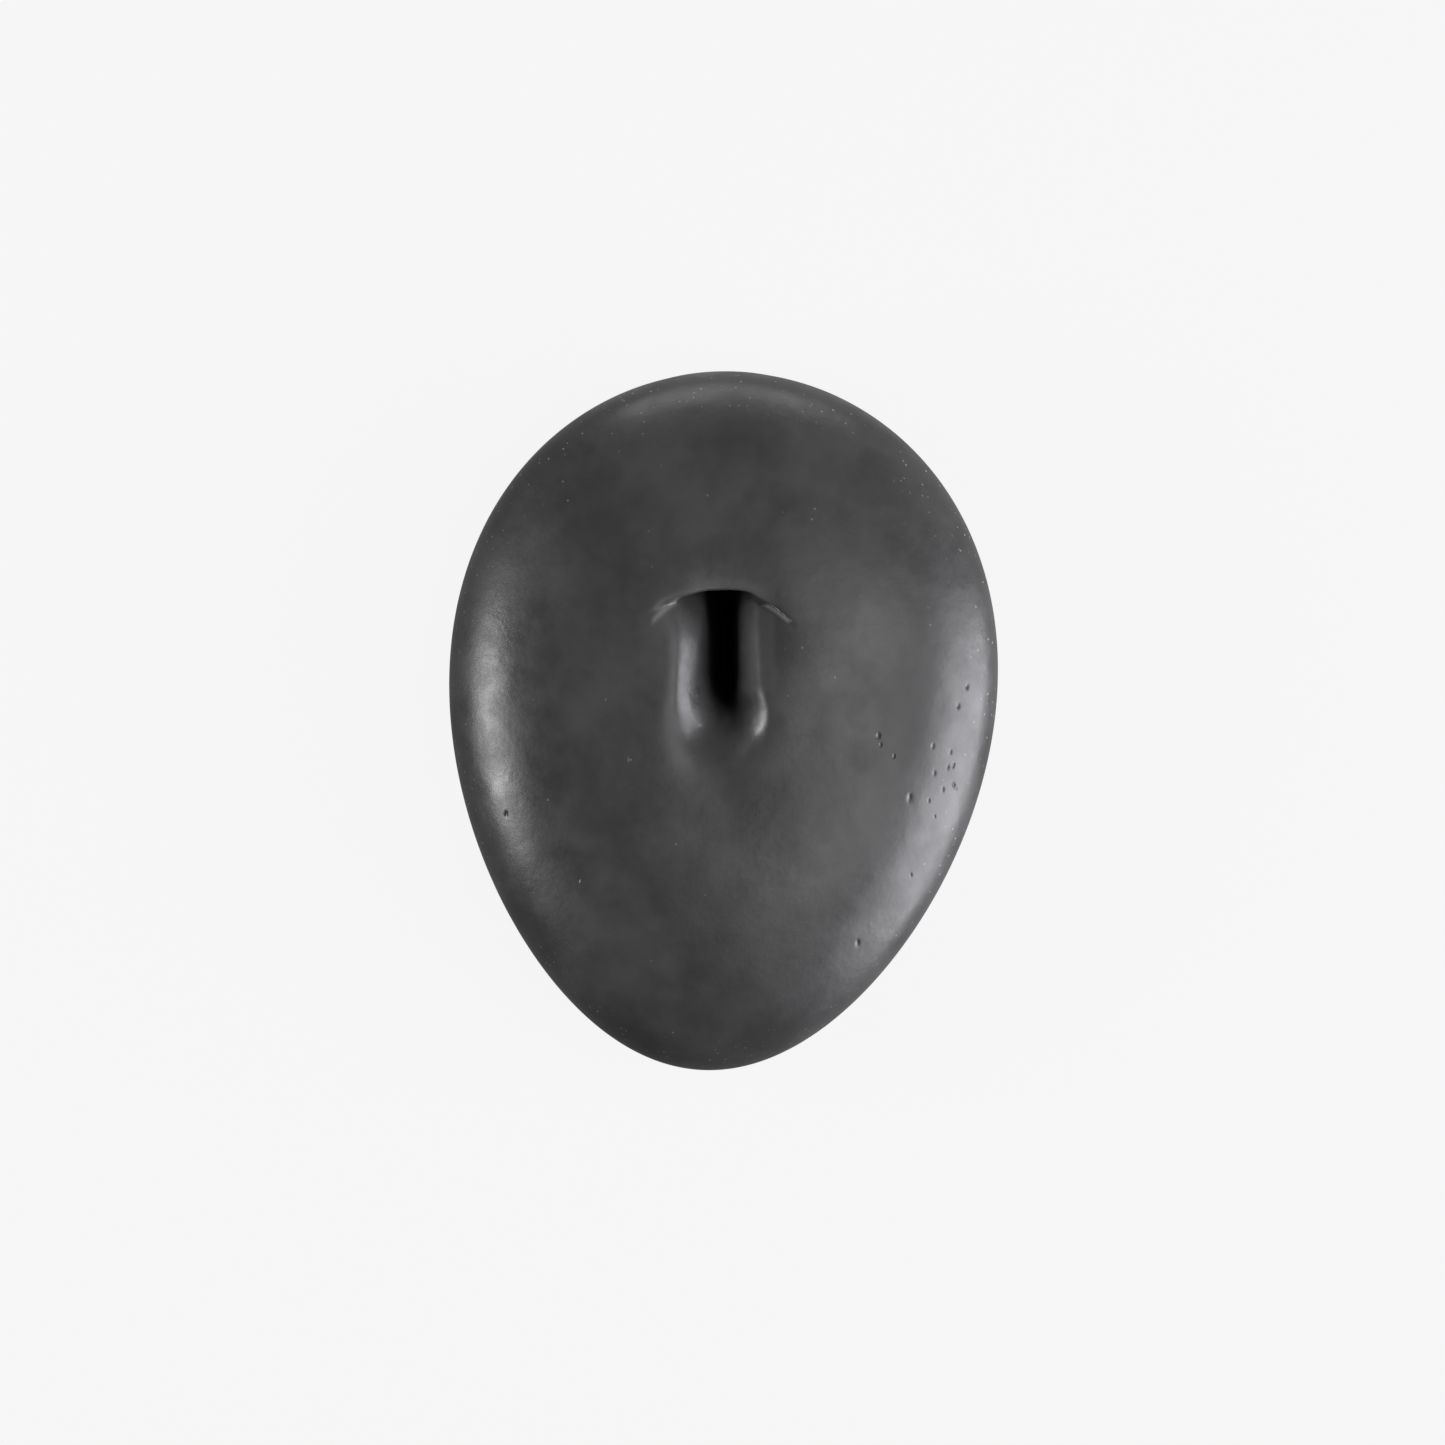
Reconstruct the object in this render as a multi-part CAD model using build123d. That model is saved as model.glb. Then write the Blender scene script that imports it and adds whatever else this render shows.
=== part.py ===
from build123d import *

import os
from math import cos, exp, hypot, pi, radians, sin, sqrt

# Soft silicone navel for showing body jewellery: one solid casting with a flat back.
#
# Frame: the piece lies on its back. The origin is at the middle of the flat back, +Z points out
# through the front, +Y towards the blunt end of the egg outline, and +X to the right when the front
# faces the viewer. All lengths are in millimetres and all angles in degrees unless marked.

# Driving dimensions
LENGTH = 80.0  # narrow end to blunt end
THICKNESS = 20.0  # flat back to the crown of the front
HALF_WIDTH = 31.1  # half width where the outline crosses the X axis
BLUNT_GAIN = 4.3  # how much wider than that the outline tends towards the blunt end
NARROW_LOSS = 0.7  # how much both ends tuck in

# Side wall, from the flat back up to the widest level
GIRTH_HEIGHT = 8.0  # height of the widest level above the back
BACK_TUCK = 0.6  # how far the wall leans in below the widest level
BACK_EDGE_RADIUS = 1.2

# Front
CROWN_EXPONENT = 3.2  # higher is a flatter front with a tighter rim
DISH_DEPTH = 0.9  # broad hollow around the navel
DISH_SPREAD = 9.5

# Navel, in its own axes: u across the slot, v along it towards the hood
NAVEL_CENTRE = (-0.1, 7.0)
NAVEL_TURN = 4.65  # anticlockwise from +Y

# Mouth of the slot: nearly square at the hood and rounded at its foot
SLOT_HALF_LENGTH = 7.8
SLOT_HALF_WIDTH = 1.7
SLOT_HOOD_GAIN = 0.12  # share by which it is wider at the hood and narrower at its foot
SLOT_HOOD_SQUARENESS = 4.0  # exponent of the superellipse at the hood end; 2 is a plain ellipse
SLOT_FOOT_SQUARENESS = 2.2
SQUARENESS_BLEND = (-0.4, 0.4)  # where along the slot the one turns into the other, as a sine

# Lip of the slot: tight under the hood, and elsewhere so wide that the slot opens like a funnel
HOOD_LIP_RADIUS = 0.9
SIDE_LIP_RADIUS = 6.3
FOOT_LIP_RADIUS = 4.2
LIP_BLEND = (0.4, 0.95)  # where the side lip turns into either end's lip, as a sine

# Inside of the slot
FLOOR_HEIGHT = 9.0  # lowest point of the slot above the back
HOOD_UNDERCUT = 2.4  # how far the slot runs on under the hood
FLOOR_HALF_LENGTH = 3.5
FLOOR_HALF_WIDTH = 1.5

# Hood over the top of the slot
HOOD_RISE = 0.5
HOOD_OFFSET = 3.4  # from the top of the slot to the hood's crest
HOOD_SPREAD = 2.2
HOOD_HALF_WIDTH = 7.5
HOOD_BEND = 0.05  # how fast the crest curves down to both sides, per mm
HOOD_END_EXPONENT = 4  # higher ends the hood more suddenly at its sides

# How finely the skin is sampled
RING_POINTS = 72
EDGE_RINGS = 4
WALL_RINGS = 5
FRONT_RINGS = 26
LIP_RINGS = 5
SLOT_RINGS = 9

CROWN_HEIGHT = THICKNESS - GIRTH_HEIGHT
TURN_COS = cos(radians(NAVEL_TURN))
TURN_SIN = sin(radians(NAVEL_TURN))


def s_curve(share):
    """Runs from 0 to 1 as share does, level at both ends."""
    return share * share * (3 - 2 * share)


def smooth_step(limits, value):
    """0 below the first limit, 1 above the second, and an S curve between them."""
    low, high = limits
    return s_curve(min(max((value - low) / (high - low), 0.0), 1.0))


def bump(value, spread):
    """A smooth hump, 1 where value is 0."""
    return exp(-((value / spread) ** 2))


def half_width(share):
    """Half width of the egg at this share of its half length, before the ends close."""
    return HALF_WIDTH + BLUNT_GAIN * share - NARROW_LOSS * share * share


def outline(angle, scale=1.0):
    """A point of the egg outline, shrunk towards the origin by scale."""
    share = scale * sin(angle)
    return scale * cos(angle) * half_width(share), LENGTH / 2 * share


def outline_share(x, y):
    """0 at the origin and 1 on the outline."""
    share = y / (LENGTH / 2)
    return hypot(share, x / half_width(share))


def to_navel(x, y):
    """The place of (x, y) in the navel's own axes."""
    dx, dy = x - NAVEL_CENTRE[0], y - NAVEL_CENTRE[1]
    return dx * TURN_COS + dy * TURN_SIN, dy * TURN_COS - dx * TURN_SIN


def from_navel(u, v):
    """The place of (u, v) in the part's own axes."""
    x = NAVEL_CENTRE[0] + u * TURN_COS - v * TURN_SIN
    y = NAVEL_CENTRE[1] + u * TURN_SIN + v * TURN_COS
    return x, y


def relief(u, v):
    """Height of the hood above the plain front, less the dish around the navel."""
    dish = DISH_DEPTH * bump(hypot(u, v), DISH_SPREAD * sqrt(2))
    crest = SLOT_HALF_LENGTH + HOOD_OFFSET - HOOD_BEND * u * u
    ends = exp(-((u / HOOD_HALF_WIDTH) ** HOOD_END_EXPONENT))
    hood = HOOD_RISE * ends * bump(v - crest, HOOD_SPREAD)
    return hood - dish


def front_height(x, y):
    """Height of the front above the flat back, ignoring the slot."""
    share = min(outline_share(x, y), 1.0)
    crown = CROWN_HEIGHT * sqrt(1 - share**CROWN_EXPONENT)
    return GIRTH_HEIGHT + crown + relief(*to_navel(x, y))


def slot_mouth(angle, offset=0.0):
    """A point of the slot's mouth, moved out by offset, in the navel's axes."""
    along = sin(angle)
    hood = smooth_step(SQUARENESS_BLEND, along)
    power = SLOT_FOOT_SQUARENESS + (SLOT_HOOD_SQUARENESS - SLOT_FOOT_SQUARENESS) * hood
    reach = (abs(cos(angle)) ** power + abs(along) ** power) ** (-1 / power)
    width = SLOT_HALF_WIDTH * (1 + SLOT_HOOD_GAIN * along) * reach + offset
    length = SLOT_HALF_LENGTH * reach + offset
    return width * cos(angle), length * along


def lip_radius(angle):
    """Radius of the slot's lip at this angle round the mouth."""
    hood = (HOOD_LIP_RADIUS - SIDE_LIP_RADIUS) * smooth_step(LIP_BLEND, sin(angle))
    foot = (FOOT_LIP_RADIUS - SIDE_LIP_RADIUS) * smooth_step(LIP_BLEND, -sin(angle))
    return SIDE_LIP_RADIUS + hood + foot


def lip_point(angle, roll):
    """A point of the lip, roll radians round from the front towards the slot's wall."""
    radius = lip_radius(angle)
    edge = from_navel(*slot_mouth(angle, radius))
    x, y = from_navel(*slot_mouth(angle, radius * (1 - sin(roll))))
    return x, y, front_height(*edge) - radius * (1 - cos(roll))


def wall_point(angle, height, inset):
    """A point of the side wall, which leans in below the widest level."""
    lean = BACK_TUCK * (1 - height / GIRTH_HEIGHT) ** 2
    return *outline(angle, 1 - (inset + lean) / HALF_WIDTH), height


def front_point(angle, travel):
    """A point of the front, from the widest level at travel 0 to the slot's lip at travel 1."""
    rim_x, rim_y = outline(angle)
    lip_x, lip_y, _ = lip_point(angle, 0)
    inward = s_curve(travel)
    x, y = rim_x + (lip_x - rim_x) * inward, rim_y + (lip_y - rim_y) * inward
    return x, y, front_height(x, y)


def slot_point(angle, depth):
    """A point inside the slot, from its mouth at depth 0 to its floor at 1, leaning under the hood."""
    u, v = slot_mouth(angle)
    floor_u = FLOOR_HALF_WIDTH * cos(angle)
    floor_v = SLOT_HALF_LENGTH + HOOD_UNDERCUT - FLOOR_HALF_LENGTH * (2 - sin(angle))
    lean = sin(pi / 2 * depth)
    x, y = from_navel(u + (floor_u - u) * depth, v + (floor_v - v) * lean)
    top = lip_point(angle, pi / 2)[2]
    return x, y, top + (FLOOR_HEIGHT - top) * depth


def ring(point, *place):
    """A closed smooth wire through point(angle, *place), with its knots spaced as on every ring."""
    points = [point(2 * pi * i / RING_POINTS, *place) for i in range(RING_POINTS)]
    knots = [i / RING_POINTS for i in range(RING_POINTS + 1)]
    return Wire(Edge.make_spline(points, periodic=True, parameters=knots))


def rings():
    """The casting's skin as rings, from the slot's floor out over the front to the flat back."""
    for step in range(SLOT_RINGS, -1, -1):
        yield ring(slot_point, step / SLOT_RINGS)
    for step in range(LIP_RINGS - 1, -1, -1):
        yield ring(lip_point, pi / 2 * step / LIP_RINGS)
    for step in range(FRONT_RINGS - 1, -1, -1):
        yield ring(front_point, step / FRONT_RINGS)
    for step in range(WALL_RINGS - 1, -1, -1):
        rise = step / WALL_RINGS
        yield ring(wall_point, BACK_EDGE_RADIUS + (GIRTH_HEIGHT - BACK_EDGE_RADIUS) * rise, 0.0)
    for step in range(EDGE_RINGS - 1, -1, -1):
        roll = pi / 2 * step / EDGE_RINGS
        yield ring(wall_point, BACK_EDGE_RADIUS * (1 - cos(roll)), BACK_EDGE_RADIUS * (1 - sin(roll)))


os.makedirs("parts", exist_ok=True)
casting = Solid.make_loft(list(rings()))
casting.label = "silicone_navel"
export_step(casting, "parts/silicone_navel.step")
print(f"volume {casting.volume:.0f} mm3, box {casting.bounding_box().size}, valid {casting.is_valid}")
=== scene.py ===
"""Looks of the silicone navel: one satin black casting on a pale floor, seen from straight above.

The casting is meshed from a smooth distance-like field. The field, the details and the lights are
worked out in millimetres in the CAD part's frame and turned into metres when a mesh or lamp is made.
Around the navel, u runs across the slot and v along it towards the hood, both from NAVEL_CENTRE.
"""

from math import cos, radians, sin

import bmesh
import bpy
import numpy as np
from mathutils import Matrix, Vector


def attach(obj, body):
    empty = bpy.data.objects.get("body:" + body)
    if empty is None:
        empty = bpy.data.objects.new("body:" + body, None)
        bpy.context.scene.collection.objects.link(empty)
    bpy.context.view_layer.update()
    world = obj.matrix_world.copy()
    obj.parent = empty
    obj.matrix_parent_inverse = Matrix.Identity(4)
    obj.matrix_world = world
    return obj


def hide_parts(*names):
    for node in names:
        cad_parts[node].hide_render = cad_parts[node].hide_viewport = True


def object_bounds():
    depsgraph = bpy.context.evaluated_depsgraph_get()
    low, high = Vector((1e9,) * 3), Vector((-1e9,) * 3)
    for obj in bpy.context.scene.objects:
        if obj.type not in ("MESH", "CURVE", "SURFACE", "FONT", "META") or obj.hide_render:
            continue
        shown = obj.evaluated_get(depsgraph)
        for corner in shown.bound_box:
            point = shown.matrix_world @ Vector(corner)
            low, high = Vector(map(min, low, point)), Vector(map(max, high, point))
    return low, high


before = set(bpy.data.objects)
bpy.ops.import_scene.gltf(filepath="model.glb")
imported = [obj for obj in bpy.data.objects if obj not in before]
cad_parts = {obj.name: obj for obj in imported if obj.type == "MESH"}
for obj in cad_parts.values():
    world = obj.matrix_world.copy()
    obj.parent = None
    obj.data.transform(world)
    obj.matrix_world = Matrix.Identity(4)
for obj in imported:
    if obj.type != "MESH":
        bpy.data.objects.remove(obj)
CAD_LOW, CAD_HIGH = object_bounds()

MM = 0.001
LENGTH = (CAD_HIGH.y - CAD_LOW.y) / MM
THICKNESS = 20.0

# Outline: half width as a polynomial in y over the half length
HALF_LENGTH = LENGTH / 2
HALF_WIDTH = 31.1
BLUNT_GAIN = 4.3
NARROW_LOSS = 0.7

# Side wall and front
GIRTH_HEIGHT = 8.0
BACK_TUCK = 0.6
BACK_EDGE_RADIUS = 1.2
CROWN_HEIGHT = THICKNESS - GIRTH_HEIGHT
CROWN_EXPONENT = 3.2
LEAST_STEEPNESS = 0.02  # of the front's field, where the front is level

# Navel
NAVEL_CENTRE = (-0.1, 7.0)
NAVEL_TURN = radians(4.65)

# Arch: the hood's edge, flat over the slot and falling away at both ends
ARCH_TOP = 7.65
ARCH_FALL = 0.062
ARCH_FLATNESS = 8.0
ARCH_DROP = 0.25
ARCH_DROP_SPAN = (3.0, 4.5)

# Low mound round the navel, which reaches further out on the right the higher up it is
MOUND_HEIGHT = 0.9
MOUND_MIDDLE = 3.0
MOUND_SPREAD = 9.0
MOUND_LEFT_SPAN = (-16.0, -2.0)
MOUND_RIGHT_START = 6.5
MOUND_RIGHT_END = 20.5
MOUND_RIGHT_LEAN = 0.8
MOUND_RIGHT_LIMITS = (11.5, 23.0)

# Shallow dish in the mound, wider on the right than on the left
DISH_DEPTH = 1.0
DISH_MIDDLE = (1.0, -1.0)
DISH_SPREAD = 3.6
DISH_RIGHT_GAIN = 4.4
DISH_TURN_SPAN = (-1.0, 3.0)
DISH_LENGTH = 8.5

# Crest of the hood
CREST_HEIGHT = 0.2
CREST_OFFSET = 3.4
CREST_SPREAD = 2.6
CREST_HALF_WIDTH = 8.5

# How the slot changes along v: its foot, where its core tapers and where its right lip rounds off
FOOT_SPAN = (-9.0, -3.0)
TAPER_SPAN = (-7.5, -1.0)
ROUND_SPAN = (-7.5, -3.0)

# Middle line of the slot, and how softly its two sides meet there
SLOT_MIDDLE = 0.15
SLOT_MIDDLE_SHIFT = 0.55
SLOT_ROUND = 0.25
SLOT_ROUND_GAIN = 1.0
SLOT_BLEND = 1.5
SLOT_BLEND_GAIN = 1.5

# Shoulders: how far out each lip starts, how steeply it goes in, and where and how fast that fades
LEFT_REACH = 5.2
LEFT_REACH_GAIN = 0.5
LEFT_REACH_SPAN = (-5.0, 3.0)
LEFT_FOOT_REACH = 0.6
LEFT_SLOPE = 0.77
LEFT_FOOT_EASE = 0.11
LEFT_END = -7.4
LEFT_FADE = 5.0
RIGHT_REACH = 3.7
RIGHT_FOOT_REACH = 0.4
RIGHT_SLOPE = 1.25
RIGHT_END = -4.7
RIGHT_FADE = 3.6
LIP_SOFTNESS = 0.4
LEFT_FOOT_SOFTNESS = 0.4
RIGHT_END_SOFTNESS = 0.5
RIGHT_LIP_SHARPENING = 0.2

# Steep core
CORE_REACH = 2.0
CORE_RIGHT_LOSS = 0.7
CORE_TAPER = 1.4
CORE_SLOPE = 5.2
CORE_SOFTNESS = 0.25

# Bed of the slot: an exponential ramp up to the foot, shallower away from its middle line
BED_DEPTH = 3.0
BED_PLACE = -9.2
BED_RAMP = 2.7
BED_MIDDLE = 0.9
BED_ROUND = 1.0
BED_SPREAD = 7.0
BED_RIGHT_LOSS = 2.5
BED_SHARPNESS = 3.0  # of the turn where the bed and the walls meet
LEAST_DEPTH = 1e-6  # keeps the powers in that turn finite

# Skin below the arch: how it dives under the hood, the groove by the arch and the bead on the right
DIVE_START = -3.0
DIVE_RATE = 0.0018
DIVE_HALF_WIDTH = 6.3
GROOVE_DEPTH = 0.25
GROOVE_WINDOW = (3.4, 7.2, 1.0)
GROOVE_SPAN = (-0.8, -0.1)
BEAD_HEIGHT = 0.9
BEAD_LEFT_SPAN = (1.5, 5.2)
BEAD_MIDDLE = 5.0
BEAD_SPREAD = 9.0
BEAD_TOP_SPAN = (-5.5, 5.0)
BEAD_END = -6.5
BEAD_FADE = 3.5

# Front face of the hood, its edge and how softly it joins the skin below
HOOD_UNDERCUT = 0.42
HOOD_STEEPNESS = 0.9
HOOD_EDGE = 0.7
HOOD_LEFT_EDGE_GAIN = 2.4
HOOD_LEFT_SPAN = (3.0, 7.0)
HOOD_RIGHT_EDGE_LOSS = 0.2
HOOD_RIGHT_SPAN = (2.5, 4.0)
JOIN_RADIUS = 0.03
JOIN_MIDDLE_GAIN = 0.4
JOIN_HALF_WIDTH = 5.5


def smooth_step(low, high, value):
    share = np.clip((value - low) / (high - low), 0.0, 1.0)
    return share * share * (3 - 2 * share)


def smooth_max(a, b, radius):
    """The larger of two fields, rounded over radius where they cross."""
    near = np.maximum(radius - np.abs(a - b), 0.0) / radius
    return np.maximum(a, b) + near**3 * radius / 6


def smooth_ramp(value, softness):
    """0 for low values and value itself for high ones, rounded over softness between them."""
    return softness * np.log1p(np.exp(value / softness))


def bump(value, spread):
    """A smooth hump, 1 where value is 0."""
    return np.exp(-((value / spread) ** 2))


def plateau(value, half_width):
    """1 round the middle, falling off smoothly near half_width on both sides."""
    return np.exp(-((value / half_width) ** 4))


def window(low, high, blend, value):
    """1 between low and high, falling to 0 over blend outside them."""
    return smooth_step(low - blend, low, value) * (1 - smooth_step(high, high + blend, value))


def fade_below(place, spread, value):
    """1 above place, falling off over spread below it."""
    return bump(np.minimum(value - place, 0.0), spread)


def outline_share(x, y):
    """0 at the origin and 1 on the outline."""
    share = y / HALF_LENGTH
    width = HALF_WIDTH + BLUNT_GAIN * share - NARROW_LOSS * share * share
    return np.hypot(share, x / width)


def to_navel(x, y):
    """The place of (x, y) in the navel's own axes."""
    dx, dy = x - NAVEL_CENTRE[0], y - NAVEL_CENTRE[1]
    turn_cos, turn_sin = cos(NAVEL_TURN), sin(NAVEL_TURN)
    return dx * turn_cos + dy * turn_sin, dy * turn_cos - dx * turn_sin


# ---- Relief of the front: heights above the plain dome


def arch(u):
    """Where the hood's edge crosses u: a flat-topped arch over the slot."""
    fall = ARCH_FALL * u**4 / (u * u + ARCH_FLATNESS)
    return ARCH_TOP - fall - ARCH_DROP * smooth_step(*ARCH_DROP_SPAN, u)


def rise(u, v):
    """Broad relief around the navel: a low mound with a shallow hollow in it."""
    right_end = np.clip(MOUND_RIGHT_END + MOUND_RIGHT_LEAN * v, *MOUND_RIGHT_LIMITS)
    left = smooth_step(*MOUND_LEFT_SPAN, u)
    right = 1 - smooth_step(MOUND_RIGHT_START, right_end, u)
    mound = MOUND_HEIGHT * left * right * bump(v - MOUND_MIDDLE, MOUND_SPREAD)
    spread = DISH_SPREAD + DISH_RIGHT_GAIN * smooth_step(*DISH_TURN_SPAN, u)
    across = (u - DISH_MIDDLE[0]) ** 2 / (2 * spread**2)
    along = (v - DISH_MIDDLE[1]) ** 2 / (2 * DISH_LENGTH**2)
    return mound - DISH_DEPTH * np.exp(-across - along)


def hood_lift(u, v):
    """Relief of the skin above the arch."""
    above = v - arch(u) - CREST_OFFSET
    crest = CREST_HEIGHT * bump(above, CREST_SPREAD) * plateau(u, CREST_HALF_WIDTH)
    return crest + rise(u, v)


def shoulder_depth(v, across, right, foot):
    """Depth under the two lips, which go in from their reach at an even slope."""
    left_gain = LEFT_REACH_GAIN * (1 - smooth_step(*LEFT_REACH_SPAN, v))
    left_reach = LEFT_REACH + left_gain + LEFT_FOOT_REACH * foot
    reach = left_reach * (1 - right) + (RIGHT_REACH + RIGHT_FOOT_REACH * foot) * right
    left_slope = (LEFT_SLOPE - LEFT_FOOT_EASE * foot) * fade_below(LEFT_END, LEFT_FADE, v)
    right_slope = RIGHT_SLOPE * fade_below(RIGHT_END, RIGHT_FADE, v)
    slope = left_slope * (1 - right) + right_slope * right
    round_end = 1 - smooth_step(*ROUND_SPAN, v)
    right_softness = right * (RIGHT_END_SOFTNESS * round_end - RIGHT_LIP_SHARPENING)
    softness = LIP_SOFTNESS + LEFT_FOOT_SOFTNESS * foot * (1 - right) + right_softness
    return slope * smooth_ramp(reach - across, softness)


def core_depth(v, across, right, foot):
    """Extra depth of the steep, narrow core between the shoulders."""
    taper = 1 - smooth_step(*TAPER_SPAN, v)
    reach = CORE_REACH - CORE_RIGHT_LOSS * right - CORE_TAPER * taper
    return (1 - foot) * CORE_SLOPE * smooth_ramp(reach - across, CORE_SOFTNESS)


def slot_depth(u, v):
    """Depth of the slot below the skin: the walls' depth, limited by a bed that rises to the foot."""
    foot = 1 - smooth_step(*FOOT_SPAN, v)
    middle = SLOT_MIDDLE + SLOT_MIDDLE_SHIFT * foot
    across = np.hypot(u - middle, SLOT_ROUND + SLOT_ROUND_GAIN * foot)
    blend = SLOT_BLEND + SLOT_BLEND_GAIN * foot
    right = smooth_step(-blend, blend, u - middle)
    walls = shoulder_depth(v, across, right, foot) + core_depth(v, across, right, foot) + LEAST_DEPTH
    off_middle = np.hypot(u - BED_MIDDLE, BED_ROUND) / (BED_SPREAD - BED_RIGHT_LOSS * right)
    bed = BED_DEPTH * np.exp((v - BED_PLACE) / BED_RAMP - off_middle) + LEAST_DEPTH
    return (walls**-BED_SHARPNESS + bed**-BED_SHARPNESS) ** (-1 / BED_SHARPNESS)


def lower_lift(u, v):
    """Relief of the skin below the arch, which dives under the hood."""
    dive = DIVE_RATE * plateau(u, DIVE_HALF_WIDTH) * np.maximum(v - DIVE_START, 0.0) ** 3
    groove = GROOVE_DEPTH * window(*GROOVE_WINDOW, u) * smooth_step(*GROOVE_SPAN, v - arch(u))
    along = (1 - smooth_step(*BEAD_TOP_SPAN, v)) * fade_below(BEAD_END, BEAD_FADE, v)
    bead = BEAD_HEIGHT * smooth_step(*BEAD_LEFT_SPAN, u) * bump(u - BEAD_MIDDLE, BEAD_SPREAD) * along
    return bead - dive - groove + rise(u, v) - slot_depth(u, v)


# ---- Fields: signed distance, near enough, and negative inside


def body_field(x, y, z, lift):
    """The casting without its navel, with its front raised by lift."""
    share = outline_share(x, y)
    height = np.maximum(z - lift - GIRTH_HEIGHT, 0.0) / CROWN_HEIGHT
    level = share**CROWN_EXPONENT + height**2 - 1
    across = CROWN_EXPONENT * share ** (CROWN_EXPONENT - 1) / HALF_WIDTH
    steepness = np.sqrt(across**2 + (2 * height / CROWN_HEIGHT) ** 2)
    front = level / np.maximum(steepness, LEAST_STEEPNESS)
    lean = BACK_TUCK * np.clip(1 - z / GIRTH_HEIGHT, 0.0, 1.0) ** 2
    wall = (share - 1) * HALF_WIDTH + lean
    side = np.where(z > GIRTH_HEIGHT, front, wall)
    return smooth_max(side, -z, 2 * BACK_EDGE_RADIUS)


def field(x, y, z):
    """The whole casting: skin with the slot below the arch, and the hood over its top."""
    u, v = to_navel(x, y)
    lower = body_field(x, y, z, lower_lift(u, v))
    top = body_field(x, y, z, hood_lift(u, v))
    face = (arch(u) + HOOD_UNDERCUT * np.maximum(-top, 0.0) - v) * HOOD_STEEPNESS
    left_edge = HOOD_LEFT_EDGE_GAIN * smooth_step(*HOOD_LEFT_SPAN, -u)
    right_edge = HOOD_RIGHT_EDGE_LOSS * smooth_step(*HOOD_RIGHT_SPAN, u)
    hood = smooth_max(top, face, HOOD_EDGE + left_edge - right_edge)
    join = JOIN_RADIUS + JOIN_MIDDLE_GAIN * plateau(u, JOIN_HALF_WIDTH)
    return -smooth_max(-lower, -hood, join)


# ---- Meshing the field

# Grid across the casting: even steps, drawn in to FINE_SHARE of their size within FINE_RADIUS of the navel
GRID_STEP = 0.95
GRID_MARGIN = (4.0, 3.0)
FINE_SHARE = 0.22
FINE_RADIUS = 9.0
FINE_BLEND = 7.0  # over which the steps grow back
FINE_INNER = FINE_RADIUS / FINE_SHARE  # FINE_RADIUS on the even grid
FINE_BLEND_GRID = 2 * FINE_BLEND / (1 + FINE_SHARE)  # FINE_BLEND on the even grid

# Grid levels: start, end and step of each band of heights
LEVEL_BANDS = ((-0.8, 8.0, 0.8), (8.0, 12.0, 0.5), (12.0, 21.2, 0.28))

# Settling points on the surface and evening the mesh out
SLOPE_STEP = 0.02
LEAST_STEEP = 0.05  # of the squared gradient
LONGEST_MOVE = 0.3
SETTLE_ROUNDS = 3
RELAX_ROUNDS = 6
RELAX_SHARE = 0.5
TINY = 1e-9

# Bubble pits: (x, y, radius) of the large ones, then how the small ones scatter on the right rim
PITS = (
    (17.9, -0.6, 0.22), (18.2, -1.6, 0.16), (19.8, -2.8, 0.16), (21.9, -7.4, 0.24),
    (27.7, 5.6, 0.20), (26.8, 3.3, 0.20), (-23.7, -12.0, 0.18), (-10.0, -5.0, 0.16),
    (22.6, -16.2, 0.14), (17.0, -24.2, 0.20), (-15.0, -19.0, 0.14),
)
PIT_SEED = 11
PIT_COUNT = 12
PIT_PLACE = (26.2, -5.5)
PIT_SCATTER = (1.1, 2.6)
PIT_RADII = (0.12, 0.19)
PIT_DEPTH = 0.6  # share of the radius
PIT_STRETCH = 1.7  # how much longer than wide
PIT_SPLITS = (1.6, 1.0, 0.7)  # how near to a pit each round of face splitting reaches
PIT_SURROUNDINGS = 3.0  # how near to a pit points are settled again


def drawn_in(a, b):
    """Maps even grid places to places that crowd around the navel."""
    cu, cv = NAVEL_CENTRE
    da, db = a - cu, b - cv
    far = np.hypot(da, db)
    t = np.clip((far - FINE_INNER) / FINE_BLEND_GRID, 0, 1)
    blended = FINE_BLEND_GRID * (FINE_SHARE * t + (1 - FINE_SHARE) * t * t / 2)
    outer = FINE_RADIUS + blended + np.maximum(far - FINE_INNER - FINE_BLEND_GRID, 0)
    reach = np.where(far < FINE_INNER, far * FINE_SHARE, outer)
    scale = reach / np.maximum(far, TINY)
    return cu + da * scale, cv + db * scale


def grid_axis(half_size, margin):
    """Even grid places over the casting and as far beyond it as the drawing in takes away."""
    drawn = (FINE_INNER - FINE_RADIUS) + (FINE_BLEND_GRID - FINE_BLEND)
    end = half_size + drawn + margin
    return np.linspace(-end, end, int(round(2 * end / GRID_STEP)) + 1)


def surface_cells(inside):
    """Which cells have both inside and outside corners."""
    n = [s - 1 for s in inside.shape]
    count = np.zeros(n, int)
    for i in (0, 1):
        for j in (0, 1):
            for k in (0, 1):
                count += inside[i : i + n[0], j : j + n[1], k : k + n[2]]
    return (count > 0) & (count < 8)


def cell_middles(places, crossed):
    """The middle of each crossed cell along one coordinate."""
    n = crossed.shape
    corners = [
        places[i : i + n[0], j : j + n[1], k : k + n[2]]
        for i in (0, 1) for j in (0, 1) for k in (0, 1)
    ]
    return (sum(corners) / 8)[crossed]


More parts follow.
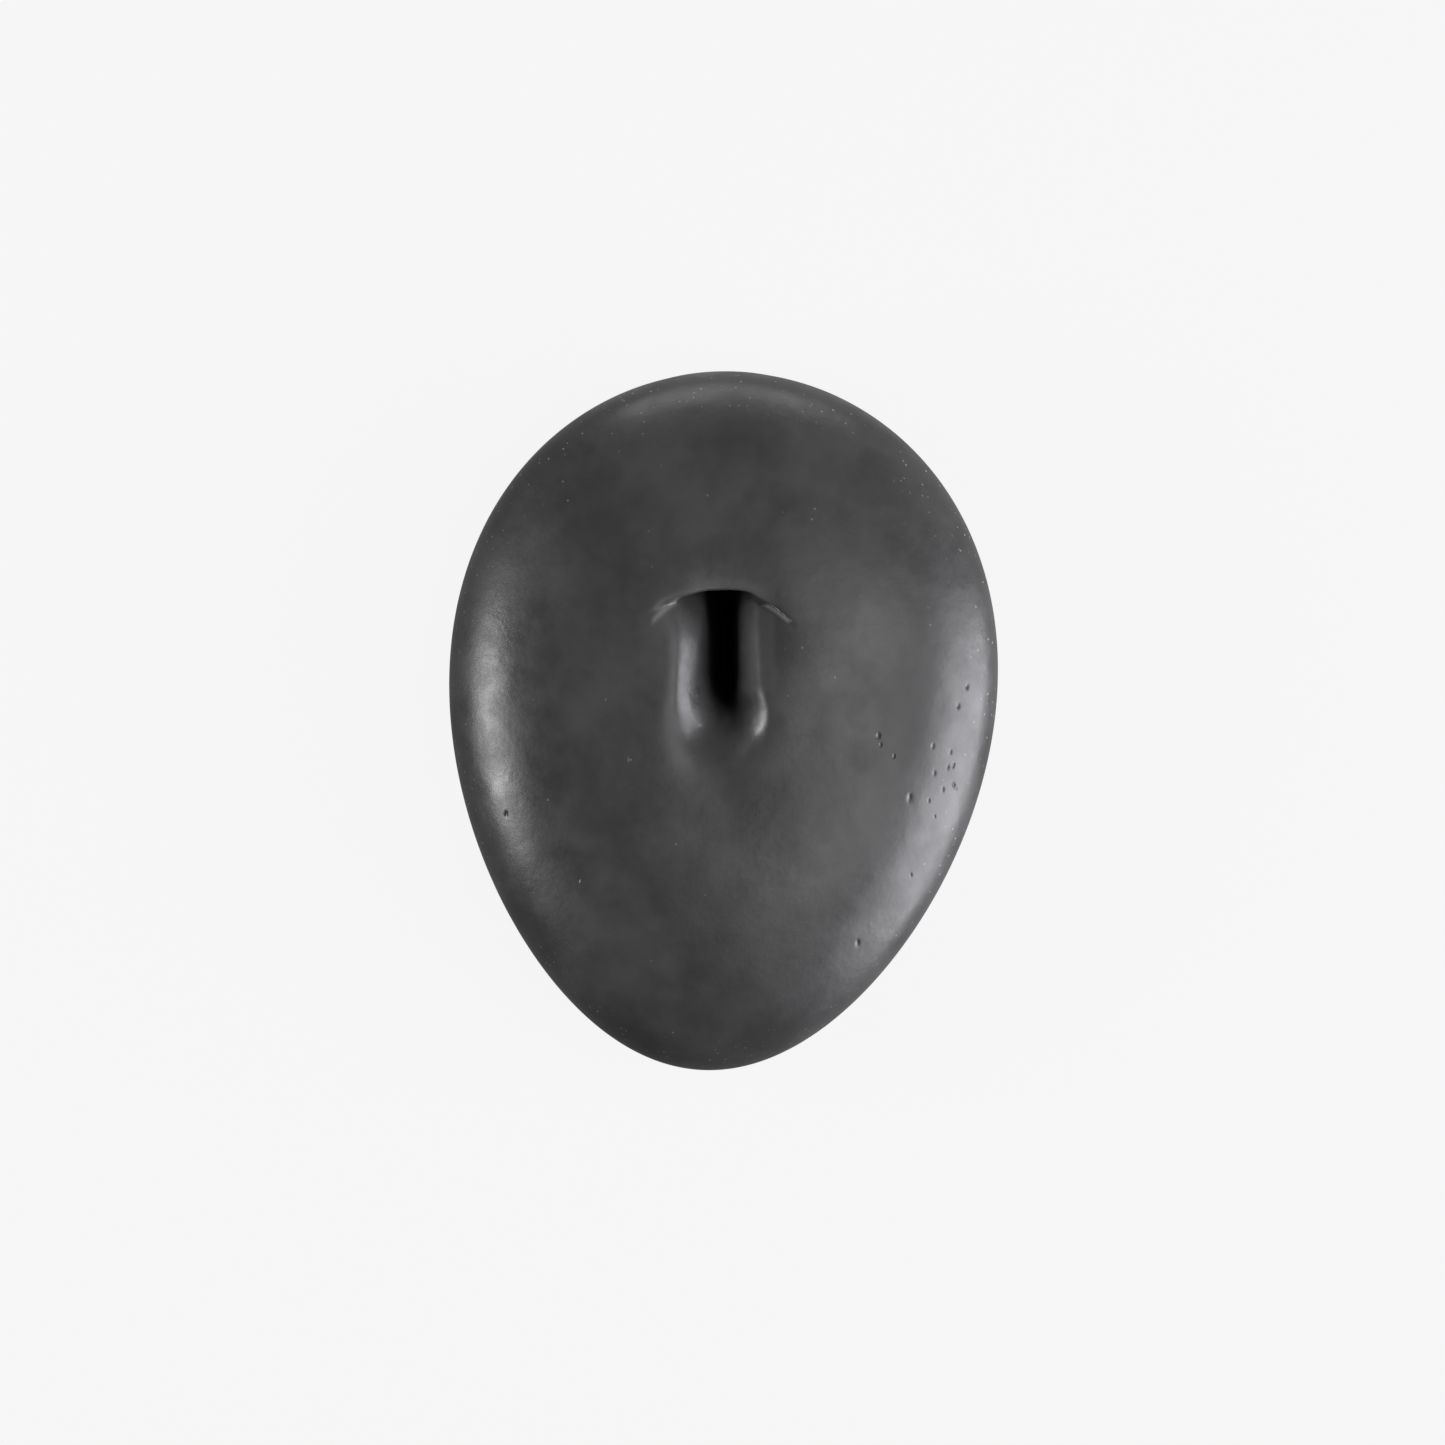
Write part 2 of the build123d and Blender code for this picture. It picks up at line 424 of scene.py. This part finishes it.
def surface_net(function, px, py, pz):
    """One vertex per crossed cell and one quad per crossed grid edge."""
    inside = function(px, py, pz) < 0
    crossed = surface_cells(inside)
    index = np.full(crossed.shape, -1)
    index[crossed] = np.arange(crossed.sum())
    quads = []
    for axis in range(3):
        ahead = np.moveaxis(inside, axis, 0)
        cells = np.moveaxis(index, axis, 0)
        low, high = ahead[:-1, 1:-1, 1:-1], ahead[1:, 1:-1, 1:-1]
        corners = np.stack([cells[:, :-1, :-1], cells[:, 1:, :-1], cells[:, 1:, 1:], cells[:, :-1, 1:]], -1)
        out, back = low & ~high, high & ~low
        if axis == 1:
            out, back = back, out
        quads.append(corners[out])
        quads.append(corners[back][:, ::-1])
    points = np.stack([cell_middles(places, crossed) for places in (px, py, pz)], -1)
    return points, np.concatenate(quads)


def gradient(function, points):
    parts = []
    for axis in range(3):
        shift = np.zeros(3)
        shift[axis] = SLOPE_STEP
        ahead, behind = points + shift, points - shift
        parts.append((function(*ahead.T) - function(*behind.T)) / (2 * SLOPE_STEP))
    return np.stack(parts, -1)


def settle(function, points, rounds=SETTLE_ROUNDS):
    """Moves points onto the zero level along the gradient."""
    for _ in range(rounds):
        slope = gradient(function, points)
        steep = np.maximum((slope**2).sum(-1, keepdims=True), LEAST_STEEP)
        move = -function(*points.T)[:, None] * slope / steep
        length = np.linalg.norm(move, axis=-1, keepdims=True)
        points = points + move * np.minimum(1, LONGEST_MOVE / np.maximum(length, TINY))
    return points


def relax(function, points, quads):
    """Evens out the mesh: each point drifts towards its neighbours' middle and back onto the surface."""
    edges = np.concatenate([quads[:, [0, 1]], quads[:, [1, 2]], quads[:, [2, 3]], quads[:, [3, 0]]])
    a, b = edges.T
    n = len(points)
    degree = np.bincount(a, minlength=n) + np.bincount(b, minlength=n)
    for _ in range(RELAX_ROUNDS):
        sums = [np.bincount(a, points[b, k], n) + np.bincount(b, points[a, k], n) for k in range(3)]
        middles = np.stack(sums, -1) / degree[:, None]
        points = points + RELAX_SHARE * (middles - points)
        points = settle(function, points, 1)
    return points


def pit_places():
    """The large bubble pits and a seeded scatter of small ones along the right rim."""
    chance = np.random.default_rng(PIT_SEED)
    places = list(PITS)
    for _ in range(PIT_COUNT):
        x = PIT_PLACE[0] + chance.normal(0.0, PIT_SCATTER[0])
        y = PIT_PLACE[1] + chance.normal(0.0, PIT_SCATTER[1])
        places.append((x, y, chance.uniform(*PIT_RADII)))
    return np.array(places)


def split_near_pits(mesh, places):
    """Splits the mesh's faces round each pit, more finely the nearer they are."""
    work = bmesh.new()
    work.from_mesh(mesh)
    for reach in PIT_SPLITS:
        middles = np.array([face.calc_center_median() for face in work.faces])
        apart = np.hypot(middles[:, None, 0] - places[:, 0], middles[:, None, 1] - places[:, 1])
        near = (apart.min(1) < reach) & (middles[:, 2] > GIRTH_HEIGHT)
        work.faces.ensure_lookup_table()
        edges = {edge for index in np.flatnonzero(near) for edge in work.faces[index].edges}
        edges = sorted(edges, key=lambda edge: edge.index)
        bmesh.ops.subdivide_edges(work, edges=edges, cuts=1, use_grid_fill=True)
        work.edges.index_update()
    work.to_mesh(mesh)
    work.free()


def pitted(mesh):
    """The mesh's points with the bubble pits pressed in, after splitting its faces round them."""
    places = pit_places()
    split_near_pits(mesh, places)
    points = np.empty(len(mesh.vertices) * 3)
    mesh.vertices.foreach_get("co", points)
    points = points.reshape(-1, 3)
    apart_x = points[:, None, 0] - places[:, 0]
    apart_y = (points[:, None, 1] - places[:, 1]) / PIT_STRETCH
    apart = np.hypot(apart_x, apart_y)
    local = (apart.min(1) < PIT_SURROUNDINGS) & (points[:, 2] > GIRTH_HEIGHT)
    points[local] = settle(field, points[local])
    slope = gradient(field, points[local])
    normal = slope / np.linalg.norm(slope, axis=-1, keepdims=True)
    pit = PIT_DEPTH * bump(apart[local], places[:, 2])
    points[local] -= normal * (pit * places[:, 2]).sum(1)[:, None]
    points[:, 2] = np.maximum(points[:, 2], 0.0)
    return points


def casting_mesh():
    ax = grid_axis(HALF_WIDTH, GRID_MARGIN[0])
    ay = grid_axis(HALF_LENGTH, GRID_MARGIN[1])
    az = np.concatenate([np.arange(*band) for band in LEVEL_BANDS])
    even_x, even_y, z = np.meshgrid(ax, ay, az, indexing="ij")
    points, quads = surface_net(field, *drawn_in(even_x, even_y), z)
    points = settle(field, points)
    points = relax(field, points, quads)
    points = settle(field, points)
    mesh = bpy.data.meshes.new("navel_casting")
    mesh.from_pydata(points.tolist(), [], quads.tolist())
    mesh.validate()
    points = pitted(mesh)
    mesh.vertices.foreach_set("co", (points * MM).ravel())
    mesh.shade_smooth()
    mesh.update()
    for name, mask in surface_marks(points).items():
        mesh.attributes.new(name, "FLOAT", "POINT").data.foreach_set("value", mask)
    return mesh


# ---- Marks on the skin

# Painted highlights along the creases at the arch's ends and along the faint band above it: share, distance
# above the arch, spread across it and (low, high, blend) along u
RIGHT_CREASE_HIGHLIGHT = (1.0, -0.3, 0.2, (4.3, 7.2, 0.5))
LEFT_CREASE_HIGHLIGHT = (0.5, 0.3, 0.4, (-7.6, -5.2, 0.7))
ARCH_BAND_HIGHLIGHT = (0.1, 0.9, 0.7, (-5.5, 4.0, 1.5))
OPEN_SKIN_SPAN = (-1.3, -1.1)  # of the field of the front without its slot, over which the painted crease highlights fade in

# Duller right lip: windows across and along the slot
DULL_ACROSS = (2.2, 5.2, 1.0)
DULL_ALONG = (-2.6, 7.0, 2.0)

# Glossier patches: middle and spreads, on the left rim and on the left lip
RIM_GLOSS = (-24.6, -8.6, 1.3, 2.6)
RIM_GLOSS_END = (-11.8, -11.0)
LIP_GLOSS = (-4.2, -5.2, 1.6, 3.2)
LIP_GLOSS_SHARE = 0.6

# Dusty rim: from where on the outline, and how much more towards the blunt right side
DUST_SPAN = (0.86, 0.98)
DUST_BASE = 0.3
DUST_SIDE_SPAN = (-20.0, 25.0)

# Painted shade in the slot: darker by depth below the dome, within a distance of the navel's centre
SHADE_DEPTH_SPAN = (3.0, 6.5)
SHADE_REACH_SPAN = (9.5, 8.5)
BACK_SPAN = (1.0, 3.0)  # heights over which the marks fade out towards the back


def crease_highlight(line, above, u):
    """A soft painted highlight line along the arch."""
    share, offset, spread, ends = line
    return share * bump(above - offset, spread) * window(*ends, u)


def patch(place, a, b):
    """A soft oval patch."""
    middle_a, middle_b, spread_a, spread_b = place
    return bump(np.hypot((a - middle_a) / spread_a, (b - middle_b) / spread_b), 1.0)


def surface_marks(points):
    """Where the skin takes painted highlights or painted shade, or is duller, glossier or dustier, from 0 to
    1 at each point.
    """
    x, y, z = points.T
    u, v = to_navel(x, y)
    share = outline_share(x, y)
    above = v - arch(u)
    open_skin = smooth_step(*OPEN_SKIN_SPAN, body_field(x, y, z, rise(u, v)))
    crease_highlights = [crease_highlight(line, above, u) for line in (RIGHT_CREASE_HIGHLIGHT, LEFT_CREASE_HIGHLIGHT, ARCH_BAND_HIGHLIGHT)]
    rim_gloss = patch(RIM_GLOSS, x, y) * smooth_step(*RIM_GLOSS_END, y)
    dust_side = DUST_BASE + (1 - DUST_BASE) * smooth_step(*DUST_SIDE_SPAN, x + y)
    crown = CROWN_HEIGHT * np.sqrt(np.maximum(1 - share**CROWN_EXPONENT, 0.0))
    depth = GIRTH_HEIGHT + crown - z
    marks = {
        # Painted highlights along the creases at the arch's ends and the band above it
        "painted_highlight": np.maximum.reduce(crease_highlights) * open_skin,
        "dull": window(*DULL_ACROSS, u) * window(*DULL_ALONG, v),
        "gloss": np.maximum(rim_gloss, LIP_GLOSS_SHARE * patch(LIP_GLOSS, u, v)),
        "dust": smooth_step(*DUST_SPAN, share) * dust_side,
        # Painted shade in the slot, darker the further down
        "painted_shade": smooth_step(*SHADE_DEPTH_SPAN, depth) * smooth_step(*SHADE_REACH_SPAN, np.hypot(u, v)),
    }
    front = smooth_step(*BACK_SPAN, z)
    return {name: mask * front for name, mask in marks.items()}


# ---- Material

# Noise: scale per mm, detail, roughness and seed
CLOUDS = (0.09, 4.0, 0.6, 1.7)
BLOTCHES = (0.33, 3.0, 0.55, 4.2)
GRAIN = (3.2, 2.0, 0.5, 8.1)
WAVES = (0.22, 3.0, 0.5, 2.9)
PEEL = (0.7, 3.0, 0.6, 6.6)

# Specks: dots per mm, radius in dot spacings, then the noise and its limits that say where they are
SPECK_DOTS = (0.55, 0.09)
SPECK_PATCHES = (0.2, 2.0, 0.5, 12.0)
SPECK_LIMITS = (0.52, 0.62)
RIM_SPECK_DOTS = (1.15, 0.17)
RIM_SPECK_PATCHES = (0.5, 2.0, 0.5, 15.0)
RIM_SPECK_LIMITS = (0.42, 0.52)

# Colours, and how fully each mark takes its own
DARK_BODY = (0.022, 0.022, 0.022, 1)
LIGHT_BODY = (0.036, 0.036, 0.036, 1)
CLOUD_LIMITS = (0.35, 0.65)
SPECK_COLOUR = (0.16, 0.16, 0.15, 1)
SPECK_SHARE = 0.5
RIM_SPECK_COLOUR = (0.40, 0.40, 0.38, 1)
RIM_SPECK_SHARE = 0.5
# Painted highlight along the creases at the arch's ends and the band above it
HIGHLIGHT_PAINT_COLOUR = (0.20, 0.20, 0.20, 1)
HIGHLIGHT_PAINT_SHARE = 0.8
# Painted shade in the slot
SHADE_PAINT_COLOUR = (0.004, 0.004, 0.004, 1)

# Shine
NOISE_LIMITS = (0.3, 0.7)
BLOTCH_ROUGHNESS = (0.30, 0.43)
GRAIN_ROUGHNESS = (-0.02, 0.02)
DULL_GAIN = 0.28
GLOSS_LOSS = 0.14
SPECULAR_LEVEL = 0.5
# Weaker shine where the slot's shade is painted
SHADE_SPECULAR_LOSS = 0.45
SILICONE_IOR = 1.43

# Relief heights
WAVE_HEIGHT = 0.10
PEEL_HEIGHT = 0.03
GRAIN_HEIGHT = 0.006


class Graph:
    """Short calls for building a node graph."""

    def __init__(self, tree):
        self.nodes, self.links = tree.nodes, tree.links

    def put(self, socket, value):
        if isinstance(value, bpy.types.NodeSocket):
            self.links.new(value, socket)
        else:
            socket.default_value = value

    def math(self, operation, *values, clamp=False):
        node = self.nodes.new("ShaderNodeMath")
        node.operation = operation
        node.use_clamp = clamp
        for socket, value in zip(node.inputs, values):
            self.put(socket, value)
        return node.outputs[0]

    def scaled(self, vector, factor):
        node = self.nodes.new("ShaderNodeVectorMath")
        node.operation = "SCALE"
        self.put(node.inputs[0], vector)
        self.put(node.inputs["Scale"], factor)
        return node.outputs["Vector"]

    def dot(self, first, second):
        node = self.nodes.new("ShaderNodeVectorMath")
        node.operation = "DOT_PRODUCT"
        self.put(node.inputs[0], first)
        self.put(node.inputs[1], second)
        return node.outputs["Value"]

    def noise(self, place, scale, detail, roughness, seed):
        node = self.nodes.new("ShaderNodeTexNoise")
        node.noise_dimensions = "4D"
        self.put(node.inputs["Vector"], place)
        for name, value in (("W", seed), ("Scale", scale), ("Detail", detail), ("Roughness", roughness)):
            self.put(node.inputs[name], value)
        return node.outputs["Fac"]

    def ramp(self, value, low, high, to_low=0.0, to_high=1.0):
        node = self.nodes.new("ShaderNodeMapRange")
        node.interpolation_type = "SMOOTHSTEP"
        for socket, given in zip(node.inputs, (value, low, high, to_low, to_high)):
            self.put(socket, given)
        return node.outputs[0]

    def dots(self, place, scale, radius):
        """Scattered soft dots, 1 in their middles."""
        node = self.nodes.new("ShaderNodeTexVoronoi")
        self.put(node.inputs["Vector"], place)
        self.put(node.inputs["Scale"], scale)
        return self.ramp(node.outputs["Distance"], 0.5 * radius, radius, 1.0, 0.0)

    def mark(self, name):
        node = self.nodes.new("ShaderNodeAttribute")
        node.attribute_name = name
        return node.outputs["Fac"]

    def blend(self, share, first, second):
        node = self.nodes.new("ShaderNodeMix")
        node.data_type = "RGBA"
        self.put(node.inputs["Factor"], share)
        self.put(node.inputs[6], first)
        self.put(node.inputs[7], second)
        return node.outputs[2]

    def bump(self, height, distance, normal=None):
        node = self.nodes.new("ShaderNodeBump")
        self.put(node.inputs["Height"], height)
        self.put(node.inputs["Distance"], distance)
        if normal is not None:
            self.put(node.inputs["Normal"], normal)
        return node.outputs["Normal"]

    def mix_shaders(self, share, first, second):
        node = self.nodes.new("ShaderNodeMixShader")
        self.put(node.inputs["Fac"], share)
        self.links.new(first, node.inputs[1])
        self.links.new(second, node.inputs[2])
        return node.outputs["Shader"]


def silicone_colour(graph, place):
    """Near black with faint clouds, under light specks, painted highlights along the arch and painted shade
    in the slot.
    """
    body = graph.blend(graph.ramp(graph.noise(place, *CLOUDS), *CLOUD_LIMITS), DARK_BODY, LIGHT_BODY)
    few = graph.ramp(graph.noise(place, *SPECK_PATCHES), *SPECK_LIMITS)
    specks = graph.math("MULTIPLY", graph.dots(place, *SPECK_DOTS), few)
    body = graph.blend(graph.math("MULTIPLY", specks, SPECK_SHARE), body, SPECK_COLOUR)
    many = graph.ramp(graph.noise(place, *RIM_SPECK_PATCHES), *RIM_SPECK_LIMITS)
    many = graph.math("MULTIPLY", graph.mark("dust"), many)
    rim_specks = graph.math("MULTIPLY", graph.dots(place, *RIM_SPECK_DOTS), many)
    body = graph.blend(graph.math("MULTIPLY", rim_specks, RIM_SPECK_SHARE), body, RIM_SPECK_COLOUR)
    # Painted highlights along the creases and the band above the arch
    body = graph.blend(graph.math("MULTIPLY", graph.mark("painted_highlight"), HIGHLIGHT_PAINT_SHARE), body, HIGHLIGHT_PAINT_COLOUR)
    # Painted shade in the slot, darker the further down
    return graph.blend(graph.mark("painted_shade"), body, SHADE_PAINT_COLOUR)


def silicone_roughness(graph, place, grain):
    """Satin with blotches and grain, duller and glossier where marked."""
    rough = graph.ramp(graph.noise(place, *BLOTCHES), *NOISE_LIMITS, *BLOTCH_ROUGHNESS)
    rough = graph.math("ADD", rough, graph.ramp(grain, *NOISE_LIMITS, *GRAIN_ROUGHNESS))
    rough = graph.math("ADD", rough, graph.math("MULTIPLY", graph.mark("dull"), DULL_GAIN))
    return graph.math("SUBTRACT", rough, graph.math("MULTIPLY", graph.mark("gloss"), GLOSS_LOSS), clamp=True)


def silicone_relief(graph, place, grain):
    """Waves, a fine peel and grain, each on top of the last."""
    waves = graph.bump(graph.noise(place, *WAVES), WAVE_HEIGHT * MM)
    peel = graph.bump(graph.noise(place, *PEEL), PEEL_HEIGHT * MM, waves)
    return graph.bump(grain, GRAIN_HEIGHT * MM, peel)


def silicone():
    material = bpy.data.materials.new("black_silicone")
    material.use_nodes = True
    graph = Graph(material.node_tree)
    shader = graph.nodes["Principled BSDF"]
    coordinate = graph.nodes.new("ShaderNodeTexCoord").outputs["Object"]
    place = graph.scaled(coordinate, 1 / MM)
    grain = graph.noise(place, *GRAIN)
    # Less shine where the slot's shade is painted
    specular = graph.math("MULTIPLY_ADD", graph.mark("painted_shade"), -SHADE_SPECULAR_LOSS, SPECULAR_LEVEL)
    graph.put(shader.inputs["Base Color"], silicone_colour(graph, place))
    graph.put(shader.inputs["Specular IOR Level"], specular)
    graph.put(shader.inputs["Roughness"], silicone_roughness(graph, place, grain))
    graph.put(shader.inputs["IOR"], SILICONE_IOR)
    graph.put(shader.inputs["Normal"], silicone_relief(graph, place, grain))
    return material


def add(name, data):
    """A new object in the scene."""
    thing = bpy.data.objects.new(name, data)
    bpy.context.scene.collection.objects.link(thing)
    return thing


casting = add("navel_casting", casting_mesh())
casting.data.materials.append(silicone())
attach(casting, "root")
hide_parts("silicone_navel")


# ---- Floor, a hair below the casting's back and clear when looked at from underneath

FLOOR_GAP = 0.02
FLOOR_HALF_SIZE = 1500.0
PAPER_BASE = (0.02, 0.02, 0.02, 1)
PAPER_GLOW_COLOUR = (1, 1, 1, 1)
PAPER_GLOW = 0.895


def floor_paper():
    """Matt paper that glows a little, so that the ground is as even as in a studio shot."""
    paper = bpy.data.materials.new("floor_paper")
    paper.use_nodes = True
    paper.cycles.emission_sampling = "NONE"
    graph = Graph(paper.node_tree)
    shader = graph.nodes["Principled BSDF"]
    graph.put(shader.inputs["Base Color"], PAPER_BASE)
    graph.put(shader.inputs["Roughness"], 1.0)
    graph.put(shader.inputs["Specular IOR Level"], 0.0)
    graph.put(shader.inputs["Emission Color"], PAPER_GLOW_COLOUR)
    graph.put(shader.inputs["Emission Strength"], PAPER_GLOW)
    behind = graph.nodes.new("ShaderNodeNewGeometry").outputs["Backfacing"]
    clear = graph.nodes.new("ShaderNodeBsdfTransparent").outputs["BSDF"]
    surface = graph.mix_shaders(behind, shader.outputs["BSDF"], clear)
    graph.put(graph.nodes["Material Output"].inputs["Surface"], surface)
    return paper


def floor_mesh():
    half, height = FLOOR_HALF_SIZE * MM, -FLOOR_GAP * MM
    corners = [(x * half, y * half, height) for x, y in ((-1, -1), (1, -1), (1, 1), (-1, 1))]
    mesh = bpy.data.meshes.new("floor")
    mesh.from_pydata(corners, [], [(0, 1, 2, 3)])
    mesh.materials.append(floor_paper())
    return mesh


floor = add("floor", floor_mesh())
floor.visible_glossy = False
floor.visible_diffuse = False
floor.visible_shadow = False


# ---- Lights: azimuth and elevation in degrees, width, height, power in watts and colour

LIGHT_DISTANCE = 500.0
LIGHT_TARGET = (0.0, 0.0, 10.0)
WHITE = (1, 1, 1)
SOFTBOXES = {
    "left_softbox": (187, 19, 270, 200, 2.7, WHITE),
    "right_softbox": (-12, 8, 460, 520, 7.3, (0.93, 0.925, 0.98)),
    "right_high_panel": (-8, 66, 380, 260, 0.95, WHITE),
    "top_panel": (92, 0, 500, 200, 0.9, WHITE),
}


def aim(thing, place, target, up):
    """Puts thing at place, looking at target."""
    back = (Vector(place) - Vector(target)).normalized()
    right = Vector(up).cross(back).normalized()
    true_up = back.cross(right)
    turn = Matrix((right, true_up, back)).transposed().to_4x4()
    thing.matrix_world = Matrix.Translation(Vector(place) * MM) @ turn


def softbox(name, azimuth, elevation, width, height, power, colour):
    data = bpy.data.lights.new(name, "AREA")
    data.shape = "RECTANGLE"
    data.size, data.size_y = width * MM, height * MM
    data.energy = power
    data.color = colour
    round_by, up_by = radians(azimuth), radians(elevation)
    flat = LIGHT_DISTANCE * cos(up_by)
    place = (flat * cos(round_by), flat * sin(round_by), LIGHT_DISTANCE * sin(up_by) + LIGHT_TARGET[2])
    aim(add(name, data), place, LIGHT_TARGET, (0, 0, 1))


for name, setting in SOFTBOXES.items():
    softbox(name, *setting)


# ---- World: a dim room that is brighter on one side, with one glow; the camera sees plain paper instead

PAPER_SKY = (0.91, 0.91, 0.91, 1)
ROOM_COLOUR = (0.554, 0.55, 0.552, 1)
ROOM_STRENGTH = 0.48
ROOM_SIDE = (0.7, 0.7, 0.0)
ROOM_SIDE_GAIN = 0.4
GLOW_SIDE = (0.0, 0.78, -0.63)
GLOW_LIMITS = (0.80, 1.0)
GLOW_STRENGTH = 0.6


def room_strength(graph):
    """How bright the room is in each direction."""
    toward = graph.nodes.new("ShaderNodeTexCoord").outputs["Generated"]
    side = graph.math("MULTIPLY_ADD", graph.dot(toward, ROOM_SIDE), ROOM_SIDE_GAIN, ROOM_STRENGTH)
    glow = graph.ramp(graph.dot(toward, GLOW_SIDE), *GLOW_LIMITS, 0.0, GLOW_STRENGTH)
    return graph.math("ADD", glow, side)


def studio():
    world = bpy.data.worlds.new("studio")
    world.use_nodes = True
    graph = Graph(world.node_tree)
    room = graph.nodes["Background"]
    graph.put(room.inputs["Color"], ROOM_COLOUR)
    graph.put(room.inputs["Strength"], room_strength(graph))
    paper_sky = graph.nodes.new("ShaderNodeBackground")
    graph.put(paper_sky.inputs["Color"], PAPER_SKY)
    seen = graph.nodes.new("ShaderNodeLightPath").outputs["Is Camera Ray"]
    surface = graph.mix_shaders(seen, room.outputs["Background"], paper_sky.outputs["Background"])
    graph.put(graph.nodes["World Output"].inputs["Surface"], surface)
    return world


bpy.context.scene.world = studio()


# ---- Camera, straight above

FRAME_WIDTH = 165.4  # of the view at the casting's girth
LENS = 200.0
SENSOR = 36.0
CAMERA_ROLL = radians(3.4)
CAMERA_TARGET = (0.19, -0.15)
FARTHEST_SEEN = 5000.0


def straight_above():
    data = bpy.data.cameras.new("camera")
    data.lens = LENS
    data.sensor_width = SENSOR
    data.clip_end = FARTHEST_SEEN * MM
    height = GIRTH_HEIGHT + FRAME_WIDTH * LENS / SENSOR
    up = (-sin(CAMERA_ROLL), cos(CAMERA_ROLL), 0)
    camera = add("camera", data)
    aim(camera, (*CAMERA_TARGET, height), (*CAMERA_TARGET, 0), up)
    return camera


bpy.context.scene.camera = straight_above()
bpy.context.scene.view_settings.view_transform = "Standard"
